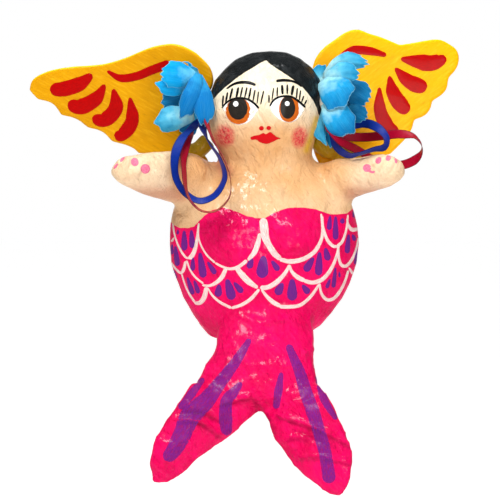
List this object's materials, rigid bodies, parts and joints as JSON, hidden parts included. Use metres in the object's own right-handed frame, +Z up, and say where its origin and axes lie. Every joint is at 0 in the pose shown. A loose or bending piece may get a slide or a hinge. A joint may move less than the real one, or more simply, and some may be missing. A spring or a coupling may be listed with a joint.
{
  "type": "winged mermaid doll",
  "caption": "Papier-mache mermaid doll with board wings, outstretched arms, a forked tail, cloth flowers at the temples and looped satin ribbons; hangs from a wire eye.",
  "frame": {"origin": "inner top of the wire hanging eye at the upper back, where a nail or hook bears", "axes": "+Z up as the figure hangs, -Y the way the face looks, +X to the viewer's right, seen from the front"},
  "size_m": [0.3078, 0.1271, 0.3084],
  "materials": {
    "painted_skin": "gloss",
    "painted_tail": "gloss",
    "wing_board": "gloss",
    "wing_fillet": "gloss",
    "inner_paper": "matte",
    "steel_wire": "satin",
    "hot_glue": "satin",
    "flower_green": "matte",
    "petal_cloth": "matte",
    "satin_blue": "satin",
    "satin_red": "satin"
  },
  "bodies": {
    "root": {"body_shell_front": "painted_skin", "body_shell_back": "painted_skin", "arm_left": "painted_skin", "arm_right": "painted_skin", "hanging_patch": "painted_skin", "tail_root": "painted_tail", "tail_fluke_left": "painted_tail", "tail_fluke_right": "painted_tail", "wing_left": "wing_board", "wing_right": "wing_board", "wing_fillet_left_front": "wing_fillet", "wing_fillet_left_back": "wing_fillet", "wing_fillet_right_front": "wing_fillet", "wing_fillet_right_back": "wing_fillet", "seam_strip": "inner_paper", "arm_wire_left": "steel_wire", "arm_wire_right": "steel_wire", "tail_wire_left": "steel_wire", "tail_wire_right": "steel_wire", "hanging_eye": "steel_wire", "flower_glue_left": "hot_glue", "flower_glue_right": "hot_glue", "flower_calyx_left": "flower_green", "flower_calyx_right": "flower_green", "flower_centre_left": "flower_green", "flower_centre_right": "flower_green", "petals_outer_left": "petal_cloth", "petals_middle_left": "petal_cloth", "petals_inner_left": "petal_cloth", "petals_outer_right": "petal_cloth", "petals_middle_right": "petal_cloth", "petals_inner_right": "petal_cloth", "ribbon_blue_left": "satin_blue", "ribbon_blue_right": "satin_blue", "ribbon_red_left": "satin_red", "ribbon_red_right": "satin_red"}
  },
  "joints": []
}
